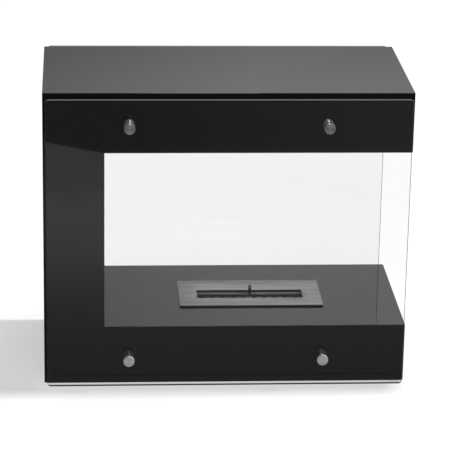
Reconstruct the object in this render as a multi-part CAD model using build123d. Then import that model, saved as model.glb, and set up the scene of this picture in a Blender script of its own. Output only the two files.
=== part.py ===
from build123d import *
import os

# Bioethanol fireplace. Millimetres, X to the right, Y to the back, Z up.
# The origin is on the floor, under the middle of the body.

# Floor
FLOOR_Z = 0.0

# Body: a C seen from the front, beam on top, column on the left, base below
BODY_WIDTH = 600.0
BODY_DEPTH = 294.0
BODY_HEIGHT = 500.0
BEAM_HEIGHT = 100.0
COLUMN_WIDTH = 99.5
BASE_HEIGHT = 100.0
SHEET = 2.0
EDGE_RADIUS = 0.7

# Largest share of a wall that the rounding, or the chamfer, of one of its edges may take
ROUNDING_SHARE = 0.9
CHAMFER_SHARE = 0.4

# Rubber feet
FOOT_HEIGHT = 3.0
FOOT_DIAMETER = 24.0
FOOT_INSET = 30.0

# Welded frame of square tube inside the body
TUBE_SIZE = 20.0
TUBE_WALL = 1.5
POST_INSET = 50.0

# Insulation board inside the beam, above the flame
BOARD_THICKNESS = 12.0
BOARD_CLEARANCE = 0.5

# Glass panes
PANE_THICKNESS = 5.0
PANE_SIDE_INSET = 5.0
PANE_TOP_INSET = 4.7
PANE_BOTTOM_INSET = 3.3
PANE_CORNER_RADIUS = 6.0
PANE_EDGE_CHAMFER = 0.5
PANE_HOLE_DIAMETER = 10.0

# Standoffs that hold the panes
STANDOFF_SIDE_INSET = 139.5
STANDOFF_FROM_TOP = 51.5
STANDOFF_FROM_BOTTOM = 48.5
BARREL_DIAMETER = 18.0
BARREL_LENGTH = 18.0
BARREL_CHAMFER = 0.4
CAP_THICKNESS = 5.0
CAP_CHAMFER = 0.8
CAP_BORE_DEPTH = 3.5
WASHER_DIAMETER = 16.0
WASHER_THICKNESS = 1.0
STUD_DIAMETER = 8.0
STUD_PAST_NUT = 1.5
STUD_TIP_GAP = 0.5
THREAD_CLEARANCE = 0.1
STUD_HOLE_CLEARANCE = 0.5
NUT_ACROSS_FLATS = 13.0
NUT_THICKNESS = 6.5

# Burner insert in the hearth
BURNER_LENGTH = 244.0
BURNER_DEPTH = 120.0
BURNER_PLATE = 3.0
BURNER_PLATE_CORNER = 2.0
BURNER_PLATE_EDGE = 0.6
SLOT_END_MARGIN = 31.5
SLOT_FRONT_MARGIN = 35.0
SLOT_BACK_MARGIN = 47.0
SLOT_CORNER = 1.0
BURNER_FLANGE = 10.0
FUEL_BOX_HEIGHT = 60.0
FUEL_BOX_WALL = 1.5
CUTOUT_CLEARANCE = 2.0
WELL_WALL = 1.5
WELL_FLANGE = 12.0
WELL_BELOW_BOX = 8.0

# Wool and its perforated cover in the fuel box
COVER_BELOW_PLATE = 10.0
COVER_THICKNESS = 1.5
COVER_HOLE_DIAMETER = 6.5
COVER_HOLE_PITCH = 18.0
COVER_HOLE_COLUMNS = 10
COVER_HOLE_ROWS = 3
COVER_HOLE_INSET = 1.0
BOX_FIT = 0.3

# Slider that closes the slot, its handle and its guides
SLIDER_THICKNESS = 1.5
SLIDER_BELOW_PLATE = 1.5
SLIDER_LIP = 3.2
SLIDER_SLOT_OVERLAP = 9.5
SLIDER_CLEARANCE = 0.3
GUIDE_GROOVE = 5.0
GUIDE_LEDGE = 1.6
HANDLE_WIDTH = 5.0
HANDLE_THICKNESS = 2.0
HANDLE_ABOVE_PLATE = 9.0
HANDLE_OFFSET = 1.7
HANDLE_HOLE_DIAMETER = 2.2
HANDLE_HOLE_BELOW_TOP = 3.5

# Levels and planes that the pieces share
BODY_Z = FLOOR_Z + FOOT_HEIGHT
TOP_Z = BODY_Z + BODY_HEIGHT
HEARTH_Z = BODY_Z + BASE_HEIGHT
SOFFIT_Z = TOP_Z - BEAM_HEIGHT
LEFT_X = -BODY_WIDTH / 2
RIGHT_X = BODY_WIDTH / 2
OPENING_X = LEFT_X + COLUMN_WIDTH
FRONT_Y = -BODY_DEPTH / 2
STANDOFF_XS = (LEFT_X + STANDOFF_SIDE_INSET, RIGHT_X - STANDOFF_SIDE_INSET)
UPPER_ROW_Z = TOP_Z - STANDOFF_FROM_TOP
LOWER_ROW_Z = BODY_Z + STANDOFF_FROM_BOTTOM
STUD_HOLE_RADIUS = STUD_DIAMETER / 2 + STUD_HOLE_CLEARANCE
THREAD_RADIUS = STUD_DIAMETER / 2 + THREAD_CLEARANCE
BURNER_X = (OPENING_X + RIGHT_X) / 2
HANDLE_X = BURNER_X + HANDLE_OFFSET
PLATE_BOTTOM_Z = HEARTH_Z
PLATE_TOP_Z = PLATE_BOTTOM_Z + BURNER_PLATE
BURNER_FRONT_Y = -BURNER_DEPTH / 2
SLOT_FRONT_Y = BURNER_FRONT_Y + SLOT_FRONT_MARGIN
SLOT_BACK_Y = -BURNER_FRONT_Y - SLOT_BACK_MARGIN
SLOT_LENGTH = BURNER_LENGTH - 2 * SLOT_END_MARGIN
BOX_LENGTH = BURNER_LENGTH - 2 * BURNER_FLANGE
BOX_DEPTH = BURNER_DEPTH - 2 * BURNER_FLANGE
BOX_INNER_LENGTH = BOX_LENGTH - 2 * FUEL_BOX_WALL
BOX_INNER_DEPTH = BOX_DEPTH - 2 * FUEL_BOX_WALL
COVER_TOP_Z = PLATE_BOTTOM_Z - COVER_BELOW_PLATE
COVER_BOTTOM_Z = COVER_TOP_Z - COVER_THICKNESS
SLIDER_TOP_Z = PLATE_BOTTOM_Z - SLIDER_BELOW_PLATE
SLIDER_LENGTH = SLOT_LENGTH + 2 * SLIDER_SLOT_OVERLAP
SLIDER_FRONT_Y = SLOT_BACK_Y - SLIDER_CLEARANCE - HANDLE_THICKNESS
SLIDER_BACK_Y = BOX_INNER_DEPTH / 2 - SLIDER_CLEARANCE


def block(x, y, z):
    """A box between two values along each axis."""
    size = (x[1] - x[0], y[1] - y[0], z[1] - z[0])
    return Pos(x[0], y[0], z[0]) * Box(*size, align=(Align.MIN, Align.MIN, Align.MIN))


def middle(centre, length):
    """The two values that lie half a length either side of a centre."""
    return (centre - length / 2, centre + length / 2)


def rod_along_y(x, z, radius, y):
    """A round bar along Y between two values."""
    bar = Cylinder(radius, y[1] - y[0], align=(Align.CENTER, Align.CENTER, Align.MIN))
    return Pos(x, y[1], z) * Rot(90, 0, 0) * bar


def joined(solids):
    """Several separate solids kept together in one node."""
    return Compound(children=list(solids))


def mirrored(shape):
    """The same piece at the back of the body."""
    return shape.mirror(Plane.XZ)


# ---------------------------------------------------------------- casing

def c_outline(inset):
    """Corners of the C seen from the front, moved inwards by an inset."""
    left = LEFT_X + inset
    right = RIGHT_X - inset
    bottom = BODY_Z + inset
    top = TOP_Z - inset
    inner = OPENING_X - inset
    hearth = HEARTH_Z - inset
    soffit = SOFFIT_Z + inset
    return [
        (left, top), (right, top), (right, soffit), (inner, soffit),
        (inner, hearth), (right, hearth), (right, bottom), (left, bottom),
    ]


def prism(outline, y):
    """A solid with an outline in X and Z, between two values along Y."""
    corners = [Vector(x, y[1], z) for x, z in outline]
    face = make_face(Polyline(*corners, close=True))
    return Solid(extrude(face, amount=y[1] - y[0], dir=(0, -1, 0)).wrapped)


def stud_holes(shape, rows, y):
    """The shape with a clearance hole for each standoff of the given rows."""
    for z in rows:
        for x in STANDOFF_XS:
            shape = shape - rod_along_y(x, z, STUD_HOLE_RADIUS, y)
    return shape


def rounded_body():
    """The whole C-shaped body with its outer edges rounded, before it is hollowed."""
    body = prism(c_outline(0.0), middle(0.0, BODY_DEPTH))
    inner_corner = body.edges().filter_by(Axis.Y).filter_by_position(
        Axis.X, OPENING_X - SHEET / 2, OPENING_X + SHEET / 2)
    rounded = body.edges() - inner_corner
    return fillet(rounded, min(EDGE_RADIUS, SHEET * ROUNDING_SHARE))


def skin_panels():
    """The eight strips round the C, mitred where they meet."""
    body = rounded_body()
    depth = middle(0.0, BODY_DEPTH)
    ring = body - prism(c_outline(SHEET), depth)
    names = (
        "top_panel", "beam_end_panel", "beam_soffit", "column_inner_panel",
        "hearth_panel", "base_end_panel", "bottom_panel", "column_side_panel",
    )
    outer = c_outline(0.0)
    inner = c_outline(SHEET)
    panels = {}
    for i, name in enumerate(names):
        j = (i + 1) % len(names)
        mitred = prism([outer[i], outer[j], inner[j], inner[i]], depth)
        panels[name] = ring & mitred
    panels["hearth_panel"] = panels["hearth_panel"] - burner_cutout()
    return panels


def front_panel():
    """The C-shaped plate at the front, let in between the strips."""
    y = (FRONT_Y, FRONT_Y + SHEET)
    return stud_holes(prism(c_outline(SHEET), y), (UPPER_ROW_Z, LOWER_ROW_Z), y)


def rubber_feet():
    """Four flat feet under the corners of the base."""
    feet = []
    for x in (LEFT_X + FOOT_INSET, RIGHT_X - FOOT_INSET):
        for y in (FRONT_Y + FOOT_INSET, -FRONT_Y - FOOT_INSET):
            foot = Cylinder(FOOT_DIAMETER / 2, FOOT_HEIGHT, align=(Align.CENTER, Align.CENTER, Align.MIN))
            feet.append(Pos(x, y, FLOOR_Z) * foot)
    return joined(feet)


# ---------------------------------------------------------------- frame

def tube(x, y, z, along):
    """A square tube between two values along each axis, open at its ends."""
    core = {"x": x, "y": y, "z": z}
    for axis in core:
        if axis != along:
            core[axis] = (core[axis][0] + TUBE_WALL, core[axis][1] - TUBE_WALL)
    return block(x, y, z) - block(core["x"], core["y"], core["z"])


def frame_beam(row_z):
    """The two long tubes behind the front and rear panels at one row of standoffs."""
    x = (LEFT_X + SHEET, RIGHT_X - SHEET)
    y = (FRONT_Y + SHEET, FRONT_Y + SHEET + TUBE_SIZE)
    bar = stud_holes(tube(x, y, middle(row_z, TUBE_SIZE), "x"), (row_z,), (y[0], y[0] + TUBE_WALL))
    return joined([bar, mirrored(bar)])


def column_frame_posts():
    """The two upright tubes in the column."""
    x = middle(LEFT_X + POST_INSET, TUBE_SIZE)
    y = (FRONT_Y + SHEET, FRONT_Y + SHEET + TUBE_SIZE)
    z = (LOWER_ROW_Z + TUBE_SIZE / 2, UPPER_ROW_Z - TUBE_SIZE / 2)
    post = tube(x, y, z, "z")
    return joined([post, mirrored(post)])


def frame_cross_ties():
    """Short tubes from front to back at the ends of the long ones."""
    y = (FRONT_Y + SHEET + TUBE_SIZE, -FRONT_Y - SHEET - TUBE_SIZE)
    left = (LEFT_X + SHEET, LEFT_X + SHEET + TUBE_SIZE)
    right = (RIGHT_X - SHEET - TUBE_SIZE, RIGHT_X - SHEET)
    ties = []
    for z in (LOWER_ROW_Z, UPPER_ROW_Z):
        for x in (left, right):
            ties.append(tube(x, y, middle(z, TUBE_SIZE), "y"))
    return joined(ties)


def beam_insulation_board():
    """Board that lies on the soffit inside the beam."""
    x = (OPENING_X, RIGHT_X - SHEET - BOARD_CLEARANCE)
    y = middle(0.0, BODY_DEPTH - 2 * SHEET - 2 * BOARD_CLEARANCE)
    z = (SOFFIT_Z + SHEET, SOFFIT_Z + SHEET + BOARD_THICKNESS)
    return block(x, y, z)


# ---------------------------------------------------------------- glass and standoffs

def standoff_planes():
    """Where each layer of a front standoff begins, from the body's face outwards."""
    barrel_end = FRONT_Y - BARREL_LENGTH
    pane_back = barrel_end - WASHER_THICKNESS
    pane_front = pane_back - PANE_THICKNESS
    cap_back = pane_front - WASHER_THICKNESS
    return barrel_end, pane_back, pane_front, cap_back


def at_standoffs(make):
    """One node with the same piece at each of the four standoffs of the front."""
    pieces = []
    for z in (LOWER_ROW_Z, UPPER_ROW_Z):
        for x in STANDOFF_XS:
            pieces.append(make(x, z))
    return joined(pieces)


def glass_pane():
    """The front pane, rounded at its corners and drilled for the studs."""
    _, pane_back, pane_front, _ = standoff_planes()
    x = (LEFT_X + PANE_SIDE_INSET, RIGHT_X - PANE_SIDE_INSET)
    z = (BODY_Z + PANE_BOTTOM_INSET, TOP_Z - PANE_TOP_INSET)
    pane = block(x, (pane_front, pane_back), z)
    pane = fillet(pane.edges().filter_by(Axis.Y), PANE_CORNER_RADIUS)
    rims = pane.faces().sort_by(Axis.Y)[0].edges() + pane.faces().sort_by(Axis.Y)[-1].edges()
    pane = chamfer(rims, min(PANE_EDGE_CHAMFER, PANE_THICKNESS * CHAMFER_SHARE))
    for row_z in (LOWER_ROW_Z, UPPER_ROW_Z):
        for row_x in STANDOFF_XS:
            pane = pane - rod_along_y(row_x, row_z, PANE_HOLE_DIAMETER / 2, (pane_front, pane_back))
    return pane


def barrel(x, z):
    """The spacer between the body and the pane."""
    barrel_end = standoff_planes()[0]
    bar = rod_along_y(x, z, BARREL_DIAMETER / 2, (barrel_end, FRONT_Y))
    bar = chamfer(bar.edges().filter_by(GeomType.CIRCLE), BARREL_CHAMFER)
    return bar - rod_along_y(x, z, THREAD_RADIUS, (barrel_end, FRONT_Y))


def washer(x, z, y):
    """A clear washer beside the pane."""
    disc = rod_along_y(x, z, WASHER_DIAMETER / 2, y)
    return disc - rod_along_y(x, z, STUD_HOLE_RADIUS, y)


def inner_washer(x, z):
    """The washer between the barrel and the pane."""
    barrel_end, pane_back, _, _ = standoff_planes()
    return washer(x, z, (pane_back, barrel_end))


def outer_washer(x, z):
    """The washer between the pane and the cap."""
    _, _, pane_front, cap_back = standoff_planes()
    return washer(x, z, (cap_back, pane_front))


def cap(x, z):
    """The screwed cap, with a blind hole for the stud."""
    cap_back = standoff_planes()[3]
    disc = rod_along_y(x, z, BARREL_DIAMETER / 2, (cap_back - CAP_THICKNESS, cap_back))
    disc = chamfer(disc.edges().filter_by(GeomType.CIRCLE), CAP_CHAMFER)
    return disc - rod_along_y(x, z, THREAD_RADIUS, (cap_back - CAP_BORE_DEPTH, cap_back))


def nut_planes():
    """Where a nut lies, inside the tube behind the front panel."""
    seat = FRONT_Y + SHEET + TUBE_WALL
    return (seat, seat + NUT_THICKNESS)


def stud(x, z):
    """The threaded rod from the nut to the cap."""
    tip = standoff_planes()[3] - CAP_BORE_DEPTH + STUD_TIP_GAP
    return rod_along_y(x, z, STUD_DIAMETER / 2, (tip, nut_planes()[1] + STUD_PAST_NUT))


def nut(x, z):
    """The hexagon nut in the tube."""
    y = nut_planes()
    profile = RegularPolygon(NUT_ACROSS_FLATS / 2, 6, major_radius=False)
    body = Pos(x, y[1], z) * Rot(90, 0, 0) * extrude(profile, amount=NUT_THICKNESS)
    return body - rod_along_y(x, z, THREAD_RADIUS, y)


# ---------------------------------------------------------------- burner

def burner_cutout():
    """The hole in the hearth that the fuel box hangs through."""
    x = middle(BURNER_X, BOX_LENGTH + 2 * CUTOUT_CLEARANCE)
    y = middle(0.0, BOX_DEPTH + 2 * CUTOUT_CLEARANCE)
    return block(x, y, (HEARTH_Z - SHEET, HEARTH_Z))


def burner_well():
    """The tray under the hearth that the burner stands in."""
    top = HEARTH_Z - SHEET
    floor = PLATE_BOTTOM_Z - FUEL_BOX_HEIGHT - WELL_BELOW_BOX
    length = BOX_LENGTH + 2 * CUTOUT_CLEARANCE
    depth = BOX_DEPTH + 2 * CUTOUT_CLEARANCE
    reach = 2 * (WELL_WALL + WELL_FLANGE)
    flange = block(middle(BURNER_X, length + reach), middle(0.0, depth + reach), (top - WELL_WALL, top))
    tray = block(
        middle(BURNER_X, length + 2 * WELL_WALL), middle(0.0, depth + 2 * WELL_WALL),
        (floor - WELL_WALL, top))
    return flange + tray - block(middle(BURNER_X, length), middle(0.0, depth), (floor, top))


def burner_top_plate():
    """The brushed plate that lies on the hearth, with its long slot."""
    x = middle(BURNER_X, BURNER_LENGTH)
    plate = block(x, middle(0.0, BURNER_DEPTH), (PLATE_BOTTOM_Z, PLATE_TOP_Z))
    plate = fillet(plate.edges().filter_by(Axis.Z), BURNER_PLATE_CORNER)
    upper_edges = plate.faces().sort_by(Axis.Z)[-1].edges()
    plate = chamfer(upper_edges, min(BURNER_PLATE_EDGE, BURNER_PLATE * CHAMFER_SHARE))
    slot = block(middle(BURNER_X, SLOT_LENGTH), (SLOT_FRONT_Y, SLOT_BACK_Y), (PLATE_BOTTOM_Z, PLATE_TOP_Z))
    return plate - fillet(slot.edges().filter_by(Axis.Z), SLOT_CORNER)


def fuel_box():
    """The open box welded under the burner plate."""
    floor = PLATE_BOTTOM_Z - FUEL_BOX_HEIGHT
    outer = block(middle(BURNER_X, BOX_LENGTH), middle(0.0, BOX_DEPTH), (floor, PLATE_BOTTOM_Z))
    inner = block(
        middle(BURNER_X, BOX_INNER_LENGTH), middle(0.0, BOX_INNER_DEPTH),
        (floor + FUEL_BOX_WALL, PLATE_BOTTOM_Z))
    return outer - inner


def ceramic_wool_block():
    """The wool that holds the fuel, on the floor of the box."""
    floor = PLATE_BOTTOM_Z - FUEL_BOX_HEIGHT + FUEL_BOX_WALL
    x = middle(BURNER_X, BOX_INNER_LENGTH - 2 * BOX_FIT)
    y = middle(0.0, BOX_INNER_DEPTH - 2 * BOX_FIT)
    return block(x, y, (floor, COVER_BOTTOM_Z))


def wool_cover():
    """The perforated sheet on the wool, with rows of holes under the slot."""
    x = middle(BURNER_X, BOX_INNER_LENGTH - 2 * BOX_FIT)
    sheet = block(x, middle(0.0, BOX_INNER_DEPTH - 2 * BOX_FIT), (COVER_BOTTOM_Z, COVER_TOP_Z))
    first_x = BURNER_X - (COVER_HOLE_COLUMNS - 1) * COVER_HOLE_PITCH / 2
    last_y = SLOT_BACK_Y - COVER_HOLE_INSET
    hole = Cylinder(COVER_HOLE_DIAMETER / 2, COVER_THICKNESS, align=(Align.CENTER, Align.CENTER, Align.MIN))
    for row in range(COVER_HOLE_ROWS):
        for column in range(COVER_HOLE_COLUMNS):
            hole_x = first_x + column * COVER_HOLE_PITCH
            hole_y = last_y - row * COVER_HOLE_PITCH
            sheet = sheet - Pos(hole_x, hole_y, COVER_BOTTOM_Z) * hole
    return sheet


def slider_plate():
    """The sheet that closes the slot: its front edge is folded down and notched for the handle."""
    x = middle(BURNER_X, SLIDER_LENGTH)
    sheet = block(x, (SLIDER_FRONT_Y, SLIDER_BACK_Y), (SLIDER_TOP_Z - SLIDER_THICKNESS, SLIDER_TOP_Z))
    lip_x = middle(BURNER_X, SLOT_LENGTH)
    lip_y = (SLIDER_FRONT_Y, SLIDER_FRONT_Y + SLIDER_THICKNESS)
    lip = block(lip_x, lip_y, (SLIDER_TOP_Z - SLIDER_LIP, SLIDER_TOP_Z - SLIDER_THICKNESS))
    return sheet + lip - block(*handle_foot())


def handle_foot():
    """The room in the slider that the handle is welded into, as values along X, Y and Z."""
    x = middle(HANDLE_X, HANDLE_WIDTH)
    y = (SLIDER_FRONT_Y, SLIDER_FRONT_Y + HANDLE_THICKNESS)
    return x, y, (SLIDER_TOP_Z - SLIDER_LIP, SLIDER_TOP_Z)


def slider_handle():
    """The upright tab in the slider's front edge, rounded at its top and drilled for a hook."""
    x, y, foot_z = handle_foot()
    top = PLATE_TOP_Z + HANDLE_ABOVE_PLATE
    tab = block(x, y, (foot_z[0], top))
    round_edges = tab.edges().filter_by(Axis.Y).group_by(Axis.Z)[-1]
    tab = fillet(round_edges, HANDLE_WIDTH / 2 * ROUNDING_SHARE)
    return tab - rod_along_y(HANDLE_X, top - HANDLE_HOLE_BELOW_TOP, HANDLE_HOLE_DIAMETER / 2, y)


def slider_guide(side):
    """A grooved bar from the box's end wall that carries one end of the slider."""
    edge = BURNER_X + side * SLIDER_LENGTH / 2
    groove = sorted((edge - side * GUIDE_GROOVE, edge + side * SLIDER_CLEARANCE))
    bar = sorted((edge - side * GUIDE_GROOVE, BURNER_X + side * BOX_INNER_LENGTH / 2))
    y = middle(0.0, BOX_INNER_DEPTH)
    slider_z = (SLIDER_TOP_Z - SLIDER_THICKNESS - SLIDER_CLEARANCE, SLIDER_TOP_Z + SLIDER_CLEARANCE)
    rail = block(bar, y, (slider_z[0] - GUIDE_LEDGE, PLATE_BOTTOM_Z))
    return rail - block(groove, y, slider_z)


# ---------------------------------------------------------------- all pieces

def all_parts():
    """Every node by its name."""
    parts = dict(skin_panels())
    parts["front_panel"] = front_panel()
    parts["rear_panel"] = mirrored(front_panel())
    parts["rubber_feet"] = rubber_feet()
    parts["beam_frame_arms"] = frame_beam(UPPER_ROW_Z)
    parts["base_frame_rails"] = frame_beam(LOWER_ROW_Z)
    parts["column_frame_posts"] = column_frame_posts()
    parts["frame_cross_ties"] = frame_cross_ties()
    parts["beam_insulation_board"] = beam_insulation_board()
    parts["front_glass_pane"] = glass_pane()
    parts["rear_glass_pane"] = mirrored(glass_pane())
    standoff_pieces = {
        "standoff_barrels": barrel, "inner_washers": inner_washer, "outer_washers": outer_washer,
        "standoff_caps": cap, "standoff_studs": stud, "standoff_nuts": nut,
    }
    for name, make in standoff_pieces.items():
        group = at_standoffs(make)
        parts["front_" + name] = group
        parts["rear_" + name] = joined([mirrored(piece) for piece in group.solids()])
    parts["burner_well"] = burner_well()
    parts["burner_top_plate"] = burner_top_plate()
    parts["fuel_box"] = fuel_box()
    parts["ceramic_wool_block"] = ceramic_wool_block()
    parts["wool_cover"] = wool_cover()
    parts["slider_plate"] = slider_plate()
    parts["slider_handle"] = slider_handle()
    parts["slider_guide_left"] = slider_guide(-1)
    parts["slider_guide_right"] = slider_guide(1)
    return parts


os.makedirs("parts", exist_ok=True)
for node, shape in all_parts().items():
    export_step(shape, f"parts/{node}.step")
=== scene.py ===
"""A free-standing bioethanol fireplace: its finishes, fittings, burner and studio, in metres."""

import logging
import math
from contextlib import contextmanager
from dataclasses import dataclass, replace
from enum import Enum
from typing import Callable, Iterator, Optional, Union

import bmesh
import bpy
from mathutils import Matrix, Vector


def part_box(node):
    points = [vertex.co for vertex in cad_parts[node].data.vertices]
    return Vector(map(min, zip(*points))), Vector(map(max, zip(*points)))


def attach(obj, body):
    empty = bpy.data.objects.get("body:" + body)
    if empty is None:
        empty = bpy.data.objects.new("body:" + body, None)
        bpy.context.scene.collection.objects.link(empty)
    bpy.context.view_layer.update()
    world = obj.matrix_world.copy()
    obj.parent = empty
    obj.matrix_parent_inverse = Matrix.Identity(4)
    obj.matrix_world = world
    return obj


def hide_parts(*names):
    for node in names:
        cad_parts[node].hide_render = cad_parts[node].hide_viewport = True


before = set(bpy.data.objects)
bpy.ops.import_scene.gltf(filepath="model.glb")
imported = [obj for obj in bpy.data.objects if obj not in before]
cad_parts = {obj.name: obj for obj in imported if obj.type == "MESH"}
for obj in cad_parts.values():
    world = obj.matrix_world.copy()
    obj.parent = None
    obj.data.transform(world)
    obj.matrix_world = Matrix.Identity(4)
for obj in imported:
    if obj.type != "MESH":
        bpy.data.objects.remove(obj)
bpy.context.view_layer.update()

LOG = logging.getLogger("fireplace")

Object = bpy.types.Object
Socket = bpy.types.NodeSocket

MM = 0.001
# The distance below which two places count as one, and below which points are merged
HAIR = 0.02 * MM
MERGE = HAIR / 4
# How far a face's unit normal reaches along an axis, at least, where the face looks that way
FACING = 0.9
X_AXIS, Y_AXIS, Z_AXIS = (Vector(row) for row in Matrix.Identity(3))

# The UV map of the turned pieces, which holds each corner's offset from the turning axis
AXIS_MAP = "offset_from_axis"
# The sockets of a Mix node that mixes colours
MIX_FACTOR, MIX_UNDER, MIX_OVER, MIX_RESULT = 0, 6, 7, 2
# Most values of a soft noise, and of two such noises added up, lie between these
NOISE_SPAN = (0.3, 0.7)
SUM_SPAN = (0.7, 1.3)
NOISE_DETAIL = 2.0
# A sheet's face goes from upright to level while its normal's rise goes through these
LEVEL_SPAN = (0.3, 0.7)


class Body(Enum):
    """The parts of the fireplace that move as one."""

    CASING = "casing"
    BURNER = "burner"
    SLIDER = "slider"


class Side(Enum):
    """The faces of the casing that carry a pane, with the turn that takes front fittings there."""

    FRONT = 0.0
    REAR = math.pi

    @property
    def prefix(self) -> str:
        """The first word of the names of what stands on this side."""
        return self.name.lower()

    @property
    def turn(self) -> Matrix:
        """The turn about the upright axis that takes a front fitting to this side."""
        return Matrix.Rotation(self.value, 4, "Z")


class Pick(Enum):
    """What a selection in edit mode is made of."""

    FACES = "FACE"
    EDGES = "EDGE"


# ---------------------------------------------------------------- materials

class Nodes:
    """The nodes of a material or a world."""

    def __init__(self, owner: Union[bpy.types.Material, bpy.types.World]) -> None:
        """Empty the tree.

        Args:
            owner: The material or the world.
        """
        owner.use_nodes = True
        self.tree = owner.node_tree
        self.tree.nodes.clear()

    def add(self, kind: str, feeds: Union[dict, tuple, list] = (), out: Union[int, str] = 0,
            **settings: object) -> Optional[Socket]:
        """Add a node with its settings and links.

        Args:
            kind: The node's type without its leading ShaderNode.
            feeds: A value or another node's output for each input, by the input's name or number,
                or in the order of the inputs.
            out: The name or number of the output that is wanted.
            settings: The node's own settings.

        Returns:
            The output, or None from a node without any.
        """
        node = self.tree.nodes.new("ShaderNode" + kind)
        for key, value in settings.items():
            setattr(node, key, value)
        for key, value in feeds.items() if isinstance(feeds, dict) else enumerate(feeds):
            if isinstance(value, Socket):
                self.tree.links.new(value, node.inputs[key])
            else:
                node.inputs[key].default_value = value
        return node.outputs[out] if node.outputs else None


def linear(hex_colour: str) -> tuple:
    """Turn an sRGB hex value into the linear colour that a shader's socket takes.

    Args:
        hex_colour: A colour such as "#8a8a88".

    Returns:
        Red, green, blue and an alpha of 1.
    """
    channels = [int(hex_colour[i:i + 2], 16) / 255 for i in (1, 3, 5)]
    return (*[c / 12.92 if c <= 0.04045 else ((c + 0.055) / 1.055) ** 2.4 for c in channels], 1.0)


def grey(brightness: float) -> tuple:
    """A linear grey with an alpha of 1."""
    return (brightness, brightness, brightness, 1.0)


def per_size(size_mm: float) -> float:
    """The scale at which a pattern on Object coordinates repeats about every size_mm."""
    return 1.0 / (size_mm * MM)


def layered(nodes: Nodes, colour: Union[tuple, Socket], *layers: tuple) -> Socket:
    """Lay colours over one another.

    Args:
        nodes: The nodes to add to.
        colour: The lowest colour.
        layers: For each colour over it, its cover from 0 to 1 and the colour.

    Returns:
        The colour that shows.
    """
    for cover, over in layers:
        feeds = {MIX_FACTOR: cover, MIX_UNDER: colour, MIX_OVER: over}
        colour = nodes.add("Mix", feeds, MIX_RESULT, data_type="RGBA")
    return colour


def toned(nodes: Nodes, value: Socket, span: tuple, dark: str, light: str) -> Socket:
    """A colour that goes from dark to light while a value goes through a span."""
    return layered(nodes, linear(dark), (nodes.add("MapRange", (value, *span)), linear(light)))


def with_cut_edges(nodes: Nodes, face: Socket, edge_colour: str) -> Socket:
    """Colour the upright faces of a level sheet, which cutting and punching leave.

    Args:
        nodes: The nodes to add to.
        face: The colour of the sheet's level faces.
        edge_colour: The hex value of the upright ones.

    Returns:
        The colour of both.
    """
    normal = nodes.add("TexCoord", out="Normal")
    upwards = nodes.add("SeparateXYZ", {"Vector": normal}, "Z")
    level = nodes.add("Math", (upwards,), operation="ABSOLUTE")
    return layered(nodes, linear(edge_colour), (nodes.add("MapRange", (level, *LEVEL_SPAN)), face))


@dataclass(frozen=True)
class Finish:
    """A surface finish, built once as a node material and shared by the pieces that have it."""

    name: str = "finish"

    def material(self) -> bpy.types.Material:
        """Find the finish's material, or make it at its first use.

        Returns:
            The material.
        """
        made = bpy.data.materials.get(self.name)
        if not made:
            made = bpy.data.materials.new(self.name)
            nodes = Nodes(made)
            shader = nodes.add("BsdfPrincipled", self.dress(nodes))
            nodes.add("OutputMaterial", {"Surface": shader})
        return made

    def dress(self, nodes: Nodes) -> dict:
        """Add the finish's own nodes, and give what feeds its shader's inputs."""
        raise NotImplementedError


@dataclass(frozen=True)
class Clouded(Finish):
    """A finish whose colour and polish wander in soft clouds, over an even grain.

    The polish is the least and the most roughness.
    """

    light: str = "#808080"
    dark: str = "#808080"
    cloud_mm: float = 20.0
    polish: tuple = (0.5, 0.7)
    grain_mm: float = 1.0
    grain_height_mm: float = 0.0
    grain_detail: float = NOISE_DETAIL
    grain_in_colour: bool = False
    stretch: tuple = (1.0, 1.0, 1.0)
    # How much of the surface acts as bare metal, and how much as something clear
    bare: float = 0.0
    clearness: float = 0.0
    refraction: Optional[float] = None
    cut_edge: Optional[str] = None

    def dress(self, nodes: Nodes) -> dict:
        """Put clouds in the colour and the roughness, and grain in the normal.

        Args:
            nodes: The material's nodes.

        Returns:
            What feeds the shader's inputs.
        """
        place = nodes.add("TexCoord", out="Object")
        place = nodes.add("Mapping", {"Vector": place, "Scale": self.stretch})
        noise = {"Vector": place, "Scale": per_size(self.cloud_mm), "Detail": NOISE_DETAIL}
        cloud = nodes.add("TexNoise", noise)
        shader = {
            "Metallic": self.bare,
            "Transmission Weight": self.clearness,
            "Roughness": nodes.add("MapRange", (cloud, *NOISE_SPAN, *self.polish)),
        }
        if self.refraction:
            shader["IOR"] = self.refraction
        shade, span = cloud, NOISE_SPAN
        if self.grain_height_mm:
            noise.update({"Scale": per_size(self.grain_mm), "Detail": self.grain_detail})
            grain = nodes.add("TexNoise", noise)
            relief = {"Height": grain, "Distance": self.grain_height_mm * MM}
            shader["Normal"] = nodes.add("Bump", relief)
            if self.grain_in_colour:
                shade, span = nodes.add("Math", (grain, cloud), operation="ADD"), SUM_SPAN
        colour = linear(self.light)
        if self.dark != self.light:
            colour = toned(nodes, shade, span, self.dark, self.light)
        if self.cut_edge:
            colour = with_cut_edges(nodes, colour, self.cut_edge)
        shader["Base Color"] = colour
        return shader


@dataclass(frozen=True)
class Grained(Clouded):
    """A dull finish whose fine grain shows in its colour too, such as paint, rubber or board."""

    grain_detail: float = 4.0
    grain_in_colour: bool = True


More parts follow.
